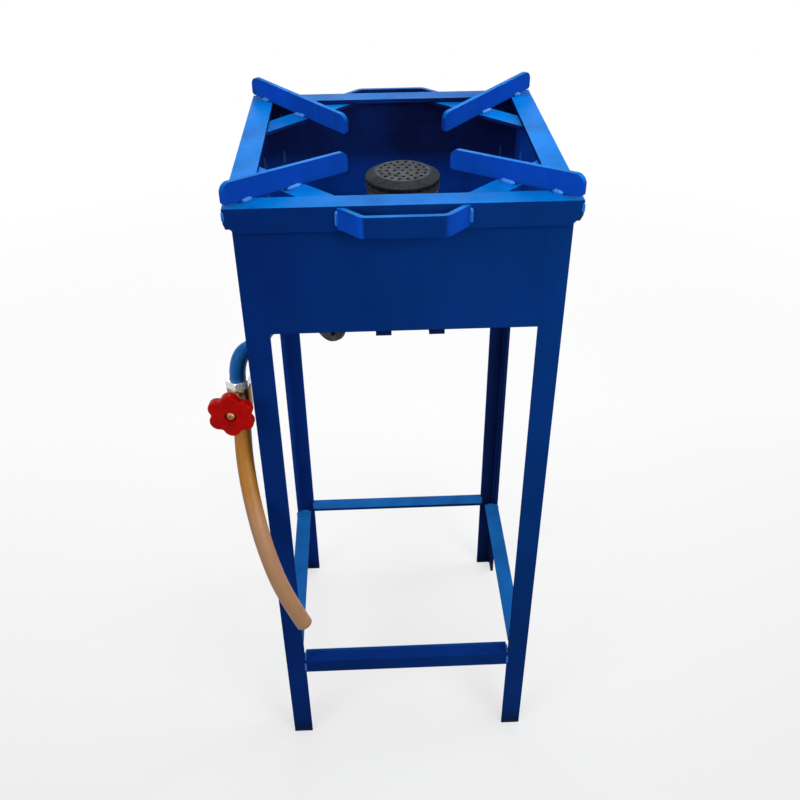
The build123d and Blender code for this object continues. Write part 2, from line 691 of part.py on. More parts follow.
# The origin is on the floor under the middle of the whole object without its hose
rigid = [shape.bounding_box() for name, shape in parts.items() if name != "gas_hose"]
mid_x = (min(box.min.X for box in rigid) + max(box.max.X for box in rigid)) / 2
mid_y = (min(box.min.Y for box in rigid) + max(box.max.Y for box in rigid)) / 2
home = Pos(-mid_x, -mid_y, 0)

os.makedirs("parts", exist_ok=True)
for name, shape in parts.items():
    export_step(home * shape, "parts/" + name + ".step")

print("shift", -mid_x, -mid_y)
print("knob axis through", (vx - mid_x, vy - mid_y, vz), "pointing at degrees", -90 - valve_turn)
print("mixing tube axis through", (burner_x - mid_x, -mid_y, tube_z), "towards degrees", line_angle)
print("burner top", crown_z, "bowl top", bowl_top, "shutter at", shut_at)
print("hose points", [tuple(round(v, 2) for v in (x - mid_x, y - mid_y, z)) for x, y, z in hose_points])
print("needle lift", needle_lift)
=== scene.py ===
import json
import math
import random

import bmesh
import bpy
from mathutils import Matrix, Vector


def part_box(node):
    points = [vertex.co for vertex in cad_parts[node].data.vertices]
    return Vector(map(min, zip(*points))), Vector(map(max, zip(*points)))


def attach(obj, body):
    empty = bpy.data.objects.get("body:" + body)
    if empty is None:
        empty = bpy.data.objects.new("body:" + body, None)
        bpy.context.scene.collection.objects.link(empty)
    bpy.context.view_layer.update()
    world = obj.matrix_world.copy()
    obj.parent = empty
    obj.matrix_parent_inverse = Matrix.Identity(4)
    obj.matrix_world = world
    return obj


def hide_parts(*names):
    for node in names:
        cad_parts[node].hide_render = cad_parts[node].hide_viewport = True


# A free-standing gas burner stove in blue enamel, on a pale studio floor.
# Metres, in the model's own frame: floor at Z = 0, front towards -Y.
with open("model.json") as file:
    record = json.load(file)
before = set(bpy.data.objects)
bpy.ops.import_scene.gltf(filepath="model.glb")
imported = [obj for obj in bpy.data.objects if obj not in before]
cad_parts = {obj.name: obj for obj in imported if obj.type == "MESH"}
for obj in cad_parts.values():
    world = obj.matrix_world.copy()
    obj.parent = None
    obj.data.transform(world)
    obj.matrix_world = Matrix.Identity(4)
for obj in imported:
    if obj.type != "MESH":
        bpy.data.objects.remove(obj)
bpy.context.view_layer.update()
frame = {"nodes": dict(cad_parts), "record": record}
nodes = frame["nodes"]

# Sides of a box: its low or high corner, and the axis
box_sides = {"left": (0, 0), "right": (1, 0), "front": (0, 1), "rear": (1, 1), "bottom": (0, 2),
             "top": (1, 2)}
digits = 7                # places are kept to a tenth of a micron


def reach(node, side):
    """Where a node's box ends on one side."""
    end, axis = box_sides[side]
    return round(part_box(node)[end][axis], digits)


def middle_x(node):
    return round((reach(node, "left") + reach(node, "right")) / 2, digits)


# Places of the stand, from the frame
corners = ("front_left", "front_right", "rear_right", "rear_left")
sides = ("front", "right", "rear", "left")
mid = middle_x("rim_front")                                    # X of the stand's middle
half = round(reach("rim_front", "right") - mid, digits)        # middle of the stand to the rim's face
face = round(mid - reach("leg_front_left", "left"), digits)    # to a leg's outer face
toe = round(mid - reach("leg_front_left", "right"), digits)    # to a leg's toe
skirt_in = -reach("skirt_front", "rear")                       # to a skirt's inner face
skirt_low = reach("skirt_front", "bottom")
rim_top = reach("rim_front", "top")
rim_under = reach("gusset_front_left", "top")                  # underside of the rim's top flange
rail_top = reach("rail_front", "top")
handle_end = round(reach("handle_front", "right") - mid, digits)

# The burner's axis, midway between its two cross bars
burner_x = (middle_x("cross_bar_left") + middle_x("cross_bar_right")) / 2
burner_y = 0.0

# Hose
hose_r = 0.0075
hose_wall = 0.003
hose_pale = 0.325         # the rubber is palest below this height
hose_ochre = 0.352        # and ochre above this
route = [(-0.12097, -0.09960, 0.4200), (-0.12377, -0.10120, 0.3860), (-0.12117, -0.11660, 0.3530),
         (-0.11387, -0.13810, 0.3230), (-0.10537, -0.15160, 0.2910), (-0.09517, -0.15710, 0.2540),
         (-0.08047, -0.15710, 0.2150)]

# Feed pipe, from the valve's axis towards the burner's: how far along, and how high
pipe_r = 0.00675
valve_x, valve_y = route[0][:2]
pipe_steps = [(0.0, 0.449), (0.001, 0.4715), (0.022, 0.4755), (0.033, 0.4873), (0.044, 0.4875),
              (0.056, 0.482), (0.0665, 0.482)]

# Soot and painted shade on the stand's inner faces
soot_shade_from = 0.522         # it starts at this height on the skirts
soot_shade_full = 0.556
right_lit_from = 0.116        # to the right of the middle, where the right skirt's face is almost free of soot and painted shade, as lit
right_lit_to = 0.12
leg_shade_end = 0.09           # on the legs painted shade grows from the middle to here
bar_shade_full = 0.06           # the cross bars are painted black, as shade under the skirt, out to here from the middle
bar_shade_end = 0.09
bar_under = 0.005         # skirt's edge down to just past the cross bars' underside
left_lit = 0.05        # inside the left legs, left of the middle from here, the paint is a painted lit copy
fade_step = 0.001         # height over which the look changes at such an edge

# Paint on the stand, with its painted light and shade
low_shade_full = 0.06           # painted shade on upright faces is darkest below this height
low_shade_end = 0.48
rail_high = 0.15          # tops below this have the rails' colour, painted shade under the stove
rim_near = 0.58           # and above this the rim's painted lit colour
front_rail_y = -0.11      # painted shade: the front rail's top is darker than the others
other_rail_y = -0.1
rim_flange = (0.105, 0.109)     # where the rim's front and rear flange tops are darker
inner_full = 0.09         # an inner face looks at the middle from this far or farther
inner_none = 0.03         # and one nearer than this doesn't count
foot_darkening = (0.004, 0.022)      # heights between which the feet's darkening ends
foot_scrape = (0.001, 0.008)

# Weld beads: the radius of each kind
horn_r = 0.0023           # pot support on the rim
gusset_bead_r = 0.0021
rim_bead_r = 0.0012
rail_bead_r = 0.0012
skirt_bead_r = 0.0014
handle_bead_r = 0.0015
cross_bead_r = 0.0015

# Both ends of each bead
horn_run = (0.153, 0.163)       # from the stand's axis, along the diagonal
gusset_run = (0.107, 0.121)
rim_run = (0.002, 0.010)        # down from the rim's top
handle_run = (0.003, 0.015)
rail_run = (0.002, 0.014)       # down from the rail's top
rail_top_run = (0.004, 0.013)   # back from the legs' outer face
cross_run = (-0.005, 0.005)     # from a cross bar's middle
skirt_runs = (0.007, 0.043, 0.079)    # up from the skirt's edge, the lower ends of three beads
skirt_bead_l = 0.012

# How far the middle of a bead stands off the faces that it joins
beside_bar = 0.0026       # from a pot support's middle plane
horn_off = 0.0008
gusset_off = 0.0006
handle_off = 0.0006
rail_off = 0.0002
cross_in = 0.0005         # into the skirt
bead_off = 0.0004         # all others

# Shape of a weld bead
bead_ripple = 0.0021      # between its ripples
bead_stretch = 0.3        # the most that this grows, as a share
bead_slice = 0.0006       # between the rings of points along it
bead_rings = 6            # fewest slices
bead_sides = 12
bead_valley = 0.8         # share of the radius between two ripples
bead_crest = 0.2          # and what a ripple adds
bead_bluntness = 0.6      # the ripples' exponent: under 1 they are round, with sharp valleys
bead_taper = 1.4          # radii over which an end rounds off
bead_tip = 0.08           # share of the radius at the very end
bead_uneven = 0.12        # share of the radius by which its rings differ

# Floor, wide enough to fill the picture: paper round the stand that turns to white light far off
floor_size = 14.0
paper_near = 0.7          # share of white light near the stand
fade_start = 0.2          # metres from the stand to where the paper starts to fade
fade_end = 1.5            # and to its end
front_y = -0.2            # nearest floor that the picture holds
back_y = 0.45             # behind this the light is plain white
white_front = 0.842       # white light on the floor in front
ring_in = 0.6             # all round, the floor turns white from here
ring_out = 2.0            # to here

# Lamps
side_aim = 0.4            # height that the side lamps point at
narrow = 1.3              # spread of a side lamp, in radians
world_light = 0.3         # what the surroundings give to the light

# Camera: place, the way it points in radians, and its focal length in pixels of the picture
eye_place = (-0.0249750 + mid, -0.7175187, 0.8676608)
eye_yaw = 0.0350933
eye_pitch = 0.6231253
eye_roll = -0.0108206
eye_focal = 906.22
picture_width = 800
film_width = 36.0         # millimetres

rng = random.Random(5)


class Graph:
    """Short names for building one material's nodes."""

    def __init__(self, name):
        self.material = bpy.data.materials.new(name)
        self.material.use_nodes = True
        self.tree = self.material.node_tree
        self.tree.nodes.clear()
        self.shader = self.tree.nodes.new("ShaderNodeBsdfPrincipled")
        self.out = self.tree.nodes.new("ShaderNodeOutputMaterial")
        self.tree.links.new(self.shader.outputs[0], self.out.inputs[0])
        self.coords = self.tree.nodes.new("ShaderNodeTexCoord").outputs["Object"]

    def node(self, kind, **values):
        made = self.tree.nodes.new("ShaderNode" + kind)
        for key, value in values.items():
            if hasattr(made, key):
                setattr(made, key, value)
            else:
                made.inputs[key.replace("_", " ")].default_value = value
        return made

    def feed(self, socket, value):
        """Put a number, a colour or another node's output into a socket."""
        if isinstance(value, (int, float)):
            socket.default_value = value
        elif isinstance(value, tuple):
            socket.default_value = (*value, 1.0) if socket.type == "RGBA" else value
        else:
            self.tree.links.new(value, socket)

    def split(self, vector):
        made = self.node("SeparateXYZ")
        self.feed(made.inputs[0], vector)
        return made.outputs["X"], made.outputs["Y"], made.outputs["Z"]

    def stretched(self, stretch):
        if stretch is None:
            return self.coords
        made = self.node("Mapping")
        made.inputs["Scale"].default_value = stretch
        self.feed(made.inputs["Vector"], self.coords)
        return made.outputs["Vector"]

    def noise(self, scale, detail=3.0, rough=0.55, stretch=None):
        made = self.node("TexNoise", Scale=scale, Detail=detail, Roughness=rough)
        self.feed(made.inputs["Vector"], self.stretched(stretch))
        return made.outputs["Fac"]

    def cells(self, scale):
        made = self.node("TexVoronoi", Scale=scale)
        self.feed(made.inputs["Vector"], self.coords)
        return made.outputs["Distance"]

    def level(self, value, low, high, to_low=0.0, to_high=1.0):
        """to_low up to low, to_high from high on, and a straight slope between them."""
        made = self.node("MapRange", From_Min=low, From_Max=high, To_Min=to_low, To_Max=to_high)
        self.feed(made.inputs["Value"], value)
        return made.outputs["Result"]

    def math(self, what, a, b):
        made = self.node("Math", operation=what)
        self.feed(made.inputs[0], a)
        self.feed(made.inputs[1], b)
        return made.outputs[0]

    def times(self, a, b):
        return self.math("MULTIPLY", a, b)

    def plus(self, a, b):
        return self.math("ADD", a, b)

    def minus(self, a, b):
        return self.math("SUBTRACT", a, b)

    def unsigned(self, value):
        return self.math("ABSOLUTE", value, 0.0)

    def mix(self, share, a, b):
        """Colour a where the share is 0 and b where it is 1."""
        made = self.node("Mix", data_type="RGBA")
        self.feed(made.inputs[0], share)
        self.feed(made.inputs[6], a)
        self.feed(made.inputs[7], b)
        return made.outputs[2]

    def normal(self):
        return self.node("NewGeometry").outputs["Normal"]

    def rounded(self, radius):
        """The normal rounded at the piece's edges."""
        bevel = self.node("Bevel", samples=4)
        bevel.inputs["Radius"].default_value = radius
        return bevel.outputs[0]

    def edge(self, rounded):
        """How far the rounded normal leaves the flat one: 0 on a face, more at an edge."""
        dot = self.node("VectorMath", operation="DOT_PRODUCT")
        self.feed(dot.inputs[0], rounded)
        self.feed(dot.inputs[1], self.normal())
        return self.minus(1.0, dot.outputs["Value"])

    def bump(self, height, distance, strength, normal=None):
        made = self.node("Bump", Strength=strength, Distance=distance)
        self.feed(made.inputs["Height"], height)
        if normal is not None:
            self.feed(made.inputs["Normal"], normal)
        return made.outputs["Normal"]

    def finish(self, **values):
        for key, value in values.items():
            self.feed(self.shader.inputs[key.replace("_", " ")], value)
        return self.material


def rgb(r, g, b):
    """A colour given in screen values, 0 to 255, as linear light."""
    def linear(v):
        v /= 255
        return v / 12.92 if v <= 0.04045 else ((v + 0.055) / 1.055) ** 2.4
    return (linear(r), linear(g), linear(b))


def shade(color, factor):
    return tuple(min(1.0, c * factor) for c in color)


def teal(color):
    """A painted lit copy of the same paint, a little greener and lighter, where more light falls from the
    right.
    """
    return (color[0], color[1] * 1.5, color[2] * 1.15)


# Colours of soot with painted shade, of the feet's darkening, and of bare metal
soot_and_shade_color = rgb(15, 19, 54)
foot_dark_blue = rgb(5, 16, 44)
chipped = rgb(66, 84, 116)
bare_steel = rgb(40, 44, 52)
rust_brown = rgb(104, 60, 32)


def smoke_share(g, x, z, inner):
    """How dark the stand's inner faces are: soot round the flame with painted shade in the box, painted
    shade on the legs and cross bars; least low down and on the right.
    """
    up_skirt = g.level(z, soot_shade_from, soot_shade_full, to_low=0.1)
    on_right = g.level(x, mid + right_lit_from, mid + right_lit_to, to_low=1.0, to_high=0.05)
    in_skirt = g.times(up_skirt, on_right)
    # Painted shade on the legs' inner faces, darker towards the right.
    on_legs = g.level(x, mid, mid + leg_shade_end, to_low=0.12, to_high=0.8)
    above = g.level(z, skirt_low - bar_under - fade_step, skirt_low)
    share = g.plus(g.times(above, in_skirt), g.times(g.minus(1.0, above), on_legs))
    cloudy = g.level(g.noise(14.0, detail=4.0), 0.25, 0.6, to_low=0.7, to_high=0.95)
    return g.math("MAXIMUM", g.times(g.times(inner, share), cloudy), g.times(bar_share(g, x, z), 0.9))


def bar_share(g, x, z):
    """Painted shade on the cross bars: black between their underside and the skirt's edge, round the
    burner.
    """
    just_over = skirt_low + 0.0001
    below_edge = g.level(z, just_over, just_over + 0.0002, to_low=1.0, to_high=0.0)
    over_underside = g.level(z, skirt_low - bar_under - fade_step, skirt_low - bar_under)
    near = g.level(g.unsigned(g.minus(x, mid)), bar_shade_full, bar_shade_end, to_low=1.0, to_high=0.0)
    return g.times(g.times(below_edge, over_underside), near)


def inner_share(g, x, y, nx, ny):
    """1 on faces that look at the stand's middle."""
    outward = g.plus(g.times(nx, g.minus(x, mid)), g.times(ny, y))
    return g.level(outward, -inner_full, -inner_none, to_low=1.0, to_high=0.0)


def upright_paint(g, side, lit_slant, facing, x, z, inner):
    """Upright faces with painted light and shade: lit copies on slanting bars, towards the right and
    inside, painted shade low on the legs.
    """
    # Painted light: a lit copy of the blue towards the right.
    lit_towards_right = g.mix(g.level(x, mid - half, mid + half), side, teal(side))
    # Painted shade: darker low down on the legs.
    shaded_low = g.mix(g.level(z, low_shade_full, low_shade_end, to_low=0.3, to_high=0.0), lit_towards_right, shade(side, 0.6))
    # Painted light on slanting bars: a lit copy, lighter where they look to the front left, darker where
    # they look to the front right.
    slanting = g.level(g.unsigned(facing), 0.2, 0.45)
    slant_light = g.mix(g.level(facing, -0.2, 0.2), shade(lit_slant, 0.82), shade(lit_slant, 1.3))
    paint = g.mix(slanting, shaded_low, slant_light)
    # Painted light: a lit copy on the left legs' inner faces, below the skirts.
    above = g.level(z, skirt_low - fade_step, skirt_low)
    on_left = g.level(x, mid - left_lit, mid, to_low=1.0, to_high=0.0)
    lit_left_legs = g.times(g.minus(inner, above), on_left)
    paint = g.mix(lit_left_legs, paint, shade(side, 1.6))
    # Painted light: a lit copy on inner faces above the skirts' edge.
    return g.mix(g.times(inner, above), paint, shade(lit_slant, 1.3))


def lying_paint(g, side, top, shaded_low_top, y, z):
    """Upward faces in lit and shaded copies: the rails' tops low down in painted shade, the rim's lit top
    above, darker on its front and rear flanges.
    """
    # Painted shade on the rails' tops, darkest on the front rail.
    rails = g.mix(g.level(y, front_rail_y, other_rail_y), shade(side, 1.2), shaded_low_top)
    near, far = rim_flange
    across = g.plus(g.level(y, near, far, to_high=0.6), g.level(y, -far, -near, to_low=0.3, to_high=0.0))
    return g.mix(g.level(z, rail_high, rim_near), rails, g.mix(across, top, shade(top, 0.55)))


def brushed(g, base, side, lit_slant):
    """Brush marks that run along the legs, and pools of thicker paint."""
    marks = g.level(g.noise(26.0, detail=5.0, rough=0.6, stretch=(1.0, 1.0, 0.3)), 0.38, 0.68, to_high=0.35)
    base = g.mix(marks, base, shade(side, 0.75))
    pools = g.level(g.noise(8.0), 0.45, 0.7, to_high=0.15)
    return g.mix(pools, base, shade(lit_slant, 0.9))


def worn(g, base, edge, z):
    """Chips along the edges, feet darker towards the floor, and scraped feet."""
    chips = g.times(g.level(edge, 0.03, 0.12), g.level(g.noise(170.0, detail=5.0, rough=0.7), 0.6, 0.67))
    base = g.mix(g.times(chips, 0.45), base, chipped)
    # The feet are darker towards the floor.
    base = g.mix(g.level(z, *foot_darkening, to_low=0.7, to_high=0.0), base, foot_dark_blue)
    low = g.level(z, *foot_scrape, to_low=1.0, to_high=0.0)
    scraped = g.times(low, g.level(g.noise(240.0, detail=4.0), 0.4, 0.55))
    return g.mix(g.times(scraped, 0.6), base, bare_steel)


def enamel(name, side, lit_slant, top, shaded_low_top, gloss=0.34, shine=0.012):
    """Thick enamel brushed over steel, worn at edges, with painted light and shade: lit copies on slanting
    bars and upward faces, soot and painted shade inside.
    """
    g = Graph(name)
    rounded = g.rounded(radius=0.0009)
    nx, ny, nz = g.split(g.normal())
    x, y, z = g.split(g.coords)
    inner = inner_share(g, x, y, nx, ny)
    upright = upright_paint(g, side, lit_slant, g.times(nx, ny), x, z, inner)
    # Painted light: upward faces take a lit copy of the blue, upright faces a shaded one.
    base = g.mix(g.level(nz, 0.1, 0.95), upright, lying_paint(g, side, top, shaded_low_top, y, z))
    base = brushed(g, base, side, lit_slant)
    # Soot round the flame, and painted shade inside the box, on the legs and on the cross bars.
    soot_shade = smoke_share(g, x, z, inner)
    base = g.mix(soot_shade, base, soot_and_shade_color)
    base = worn(g, base, g.edge(rounded), z)
    peel = g.noise(340.0, detail=2.0, rough=0.4)
    sag = g.noise(36.0, rough=0.5, stretch=(1.0, 1.0, 0.35))
    height = g.plus(g.times(peel, 0.22), sag)
    patchy = g.level(g.noise(24.0, detail=4.0), 0.3, 0.7, to_low=gloss, to_high=gloss + 0.16)
    return g.finish(Base_Color=base, Roughness=g.plus(patchy, g.times(soot_shade, 0.35)),
                    Normal=g.bump(height, distance=0.0008, strength=0.5, normal=rounded),
                    Specular_IOR_Level=shine, Specular_Tint=(0.1, 0.45, 1.0))


def iron(name, dark, pale, rust, grain, rough, patches=75.0, shine=0.5):
    """Sand-cast iron: grainy, dark on its sides, blotched on top, a little rust in the hollows, paler
    upward edges of wear and painted highlight.
    """
    g = Graph(name)
    rounded = g.rounded(radius=0.0012)
    upward = g.level(g.split(g.normal())[2], 0.1, 0.5)
    blotch = g.level(g.noise(patches, detail=4.0, rough=0.6), 0.4, 0.62)
    base = g.mix(g.times(blotch, upward), dark, pale)
    spots = g.times(upward, g.level(g.noise(grain, detail=4.0, rough=0.7), 0.52, 0.68))
    base = g.mix(g.times(spots, 0.4), base, shade(pale, 1.9))
    # Paler upward edges: rubbing wear together with a painted highlight.
    rubbed_and_highlit = g.times(g.level(g.edge(rounded), 0.02, 0.14, to_high=0.7), upward)
    base = g.mix(rubbed_and_highlit, base, shade(pale, 1.9))
    stain = g.level(g.noise(90.0, detail=5.0, rough=0.7), 0.56, 0.7)
    base = g.mix(g.times(stain, rust), base, rust_brown)
    sand = g.plus(g.noise(1400.0, rough=0.6), g.times(g.cells(520.0), 0.7))
    return g.finish(Base_Color=base, Specular_IOR_Level=shine,
                    Normal=g.bump(sand, distance=0.0006, strength=0.6, normal=rounded),
                    Roughness=g.level(g.noise(140.0), 0.3, 0.7, to_low=rough - 0.1, to_high=rough + 0.2))


def metal(name, color, rough, tint):
    """Turned or plated metal with fine tool lines and handling marks."""
    g = Graph(name)
    rounded = g.rounded(radius=0.0005)
    patch = g.level(g.noise(95.0, detail=4.0), 0.35, 0.7)
    base = g.mix(g.times(patch, tint), color, shade(color, 0.45))
    tool = g.noise(900.0, detail=2.0, rough=0.5, stretch=(1.0, 1.0, 12.0))
    marks = g.noise(420.0, detail=4.0, rough=0.7, stretch=(6.0, 1.0, 1.0))
    scratch = g.level(marks, 0.6, 0.66, to_high=0.5)
    return g.finish(Base_Color=base, Metallic=1.0,
                    Normal=g.bump(tool, distance=0.0002, strength=0.35, normal=rounded),
                    Roughness=g.level(g.plus(tool, scratch), 0.3, 1.2, to_low=rough, to_high=rough + 0.25))


def plastic(name, color, dark):
    """Moulded knob plastic: smooth gloss, faint flow marks and a few scuffs on the edges."""
    g = Graph(name)
    rounded = g.rounded(radius=0.0008)
    base = g.mix(g.level(g.noise(70.0), 0.35, 0.7), color, dark)
    scuff = g.times(g.level(g.edge(rounded), 0.02, 0.12), g.level(g.noise(500.0, detail=4.0), 0.5, 0.7))
    base = g.mix(g.times(scuff, 0.35), base, shade(color, 1.5))
    return g.finish(Base_Color=base, Roughness=g.level(g.noise(260.0), 0.3, 0.7, to_low=0.24, to_high=0.38),
                    Normal=g.bump(g.noise(240.0), distance=0.00025, strength=0.35, normal=rounded),
                    Specular_IOR_Level=0.15, Specular_Tint=(1.0, 0.3, 0.2))


def rubber(name, top, low):
    """Soft gas hose: ochre, duller and paler towards its lower end, with dirt and a fine grain."""
    g = Graph(name)
    z = g.split(g.coords)[2]
    base = g.mix(g.level(z, hose_pale, hose_ochre), low, top)
    dirt = g.level(g.noise(46.0, detail=5.0, rough=0.65), 0.45, 0.75)
    base = g.mix(g.times(dirt, 0.3), base, shade(low, 0.5))
    fine = g.plus(g.noise(1500.0, detail=2.0, rough=0.5), g.noise(120.0, detail=2.0, rough=0.5))
    return g.finish(Base_Color=base, Roughness=g.level(g.noise(210.0), 0.3, 0.7, to_low=0.38, to_high=0.55),
                    Normal=g.bump(fine, distance=0.0003, strength=0.4), Specular_IOR_Level=0.35)


# Materials by the record's slots
looks = {
    # The enamel's blues are lit and shaded copies of one paint: painted light and shade.
    "blue_enamel": enamel("blue_enamel", side=rgb(6, 37, 100), lit_slant=rgb(12, 70, 178), top=rgb(4, 128, 226),
                          shaded_low_top=rgb(24, 96, 166)),
    "cast_iron": iron("cast_iron", dark=rgb(14, 15, 18), pale=rgb(32, 33, 37), rust=0.15, grain=260.0,
                      rough=0.6),
    "burner_iron": iron("burner_iron", dark=rgb(13, 16, 22), pale=rgb(33, 41, 52), rust=0.06, grain=420.0,
                        rough=0.45, patches=58.0, shine=0.15),
    "zinc_steel": metal("zinc_steel", rgb(222, 224, 228), rough=0.24, tint=0.08),
    "brass": metal("brass", rgb(156, 120, 74), rough=0.36, tint=0.4),
    "red_plastic": plastic("red_plastic", rgb(176, 3, 2), dark=rgb(134, 2, 1)),
    "hose_rubber": rubber("hose_rubber", top=rgb(164, 106, 24), low=rgb(158, 116, 82)),
}
for entry in frame["record"]["subparts"]:
    held = nodes[entry["node"]].data.materials
    held.clear()
    held.append(looks[entry["material_slot"]])


def tube(name, points, radius, material):
    """A round tube along one smooth spline."""
    data = bpy.data.curves.new(name, "CURVE")
    data.dimensions = "3D"
    data.resolution_u = 24
    spline = data.splines.new("NURBS")
    spline.points.add(len(points) - 1)
    for point, place in zip(spline.points, points):
        point.co = (*place, 1.0)
        point.radius = radius
    spline.order_u = 3
    spline.use_endpoint_u = True
    data.bevel_depth = 1.0    # times each point's own radius
    data.bevel_resolution = 10
    data.materials.append(material)
    made = bpy.data.objects.new(name, data)
    bpy.context.collection.objects.link(made)
    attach(made, "stove")
    return made


# Feed pipe, bent down by hand behind the leg
# Its enamel is a lighter, greener copy of the stand's blue: painted light.
pipe_lit_enamel = enamel("pipe_enamel", side=rgb(22, 82, 146), lit_slant=rgb(22, 82, 146), top=rgb(24, 96, 170),
                   shaded_low_top=rgb(24, 96, 170), gloss=0.2, shine=0.3)
to_burner = Vector((burner_x - valve_x, burner_y - valve_y)).normalized()
pipe_line = []
for along, height in pipe_steps:
    pipe_line.append((valve_x + to_burner.x * along, valve_y + to_burner.y * along, height))
pipe = tube("feed_pipe_bent", pipe_line, pipe_r, pipe_lit_enamel)
pipe.data.use_fill_caps = True
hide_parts("feed_pipe")

# The hose hangs free from the valve's barb
hose = tube("gas_hose_free", route, hose_r, looks["hose_rubber"])
wall = hose.modifiers.new("wall", "SOLIDIFY")
wall.thickness = hose_wall
wall.offset = -1.0
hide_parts("gas_hose")


def piece(name, mesh, material, body="stove"):
    """A finished mesh as a piece that rides on a body."""
    bmesh.ops.recalc_face_normals(mesh, faces=mesh.faces)
    data = bpy.data.meshes.new(name)
    mesh.to_mesh(data)
    mesh.free()
    data.materials.append(material)
    for polygon in data.polygons:
        polygon.use_smooth = True
    made = bpy.data.objects.new(name, data)
    bpy.context.collection.objects.link(made)
    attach(made, body)


def skin(mesh, loops):
    """Faces between closed loops of points, with both ends shut."""
    rings = [[mesh.verts.new(point) for point in loop] for loop in loops]
    count = len(rings[0])
    for low, high in zip(rings, rings[1:]):
        for j in range(count):
            mesh.faces.new((low[j], low[(j + 1) % count], high[(j + 1) % count], high[j]))
    mesh.faces.new(list(reversed(rings[0])))
    mesh.faces.new(rings[-1])


# Weld beads, in a lighter, glossier copy of the enamel: the lighter blue is a painted highlight
weld_highlight_enamel = enamel("weld_enamel", side=rgb(16, 78, 168), lit_slant=rgb(40, 110, 205), top=rgb(86, 164, 236),
                   shaded_low_top=rgb(30, 96, 170), gloss=0.12, shine=0.5)


def bead(name, a, b, radius):
    """A rippled weld bead from a to b, half sunk in the joint."""
    a = Vector(a)
    along = Vector(b) - a
    length = along.length
    along.normalize()
    side = along.orthogonal().normalized()
    other = along.cross(side)
    rings = max(bead_rings, int(length / bead_slice))
    step = bead_ripple * (1 + bead_stretch * rng.random())
    turns = [2 * math.pi * j / bead_sides for j in range(bead_sides)]
    loops = []
    for i in range(rings + 1):
        at = length * i / rings
        ripple = abs(math.sin(math.pi * at / step)) ** bead_bluntness
        taper = min(1.0, math.sqrt(min(at, length - at) / (bead_taper * radius)))
        unevenness = 1 - bead_uneven / 2 + bead_uneven * rng.random()
        size = radius * (bead_valley + bead_crest * ripple) * max(bead_tip, taper) * unevenness
        sway = side * (rng.random() - 0.5) + other * (rng.random() - 0.5)
        middle = a + along * at + sway * (bead_uneven * radius)
        loops.append([middle + side * (size * math.cos(t)) + other * (size * math.sin(t)) for t in turns])
    mesh = bmesh.new()
    skin(mesh, loops)
    piece(name, mesh, weld_highlight_enamel)


def around(points, k):
    """The same points on another side of the square stand."""
    turned = []
    for x, y, z in points:
        for _ in range(k):
            x, y = -y, x
        turned.append((x + mid, y, z))
    return turned


def on_diagonal(r, off, z):
    """A point of the front left diagonal, off to one side of it."""
    s = 1 / math.sqrt(2)
    return (-r * s + off * s, -r * s - off * s, z)


def corner_welds(k, corner):
    """Pot support to the rim and to its gusset, and the rim's own corner."""
    for end, off in (("a", beside_bar), ("b", -beside_bar)):
        run = [on_diagonal(r, off, rim_top + horn_off) for r in horn_run]
        bead("weld_horn_" + corner + "_" + end, *around(run, k), horn_r)
        run = [on_diagonal(r, off, rim_under + gusset_off) for r in gusset_run]
        bead("weld_gusset_" + corner + "_" + end, *around(run, k), gusset_bead_r)
    edge = -half + bead_off
    run = [(edge, edge, rim_top - down) for down in rim_run]
    bead("weld_rim_" + corner, *around(run, k), rim_bead_r)


def side_welds(k, side):
    """Rail and skirt to the legs."""
    for end, sign in (("a", -1), ("b", 1)):
        x = sign * toe
        run = [(x, -face - rail_off, rail_top - down) for down in rail_run]
        bead("weld_rail_" + side + "_" + end, *around(run, k), rail_bead_r)
        run = [(x, -face + back, rail_top) for back in rail_top_run]
        bead("weld_rail_top_" + side + "_" + end, *around(run, k), rail_bead_r)
        for step, up in enumerate(skirt_runs):
            low = skirt_low + up
            run = [(x, -skirt_in + bead_off, z) for z in (low, low + skirt_bead_l)]
            bead("weld_skirt_" + side + "_" + end + str(step), *around(run, k), skirt_bead_r)


def handle_welds(k, side):
    """The handle's ends to the rim's face."""
    for end, sign in (("a", -1), ("b", 1)):
        x = sign * (handle_end + bead_off)
        run = [(x, -half - handle_off, rim_top - down) for down in handle_run]
        bead("weld_handle_" + side + "_" + end, *around(run, k), handle_bead_r)


def cross_bar_welds():
    """The burner's cross bars to the front and rear skirts."""
    for end in ("left", "right"):
        x = middle_x("cross_bar_" + end)
        for side, sign in (("front", -1), ("rear", 1)):
            y = sign * (skirt_in - cross_in)
            run = [(x + along, y, skirt_low + bead_off) for along in cross_run]
            bead("weld_cross_" + end + "_" + side, *run, cross_bead_r)


for k, corner in enumerate(corners):
    corner_welds(k, corner)
for k, side in enumerate(sides):
    side_welds(k, side)
handle_welds(0, "front")
handle_welds(2, "rear")
cross_bar_welds()


def shader(tree, kind, color, strength=None):
    made = tree.nodes.new(kind)
    made.inputs["Color"].default_value = (*color, 1.0)
    if strength is not None:
        made.inputs["Strength"].default_value = strength
    return made


def blend_shaders(tree, share, a, b):
    made = tree.nodes.new("ShaderNodeMixShader")
    tree.links.new(share, made.inputs[0])
    tree.links.new(a.outputs[0], made.inputs[1])
    tree.links.new(b.outputs[0], made.inputs[2])
    return made


def seen_rays(tree):
    """1 for the rays that show the background: to the camera, in gloss and through glass."""
    path = tree.nodes.new("ShaderNodeLightPath")
    total = path.outputs["Is Camera Ray"]
    for name in ("Is Glossy Ray", "Is Transmission Ray"):
        both = tree.nodes.new("ShaderNodeMath")
        both.operation = "MAXIMUM"
        tree.links.new(total, both.inputs[0])
        tree.links.new(path.outputs[name], both.inputs[1])
        total = both.outputs[0]
    return total


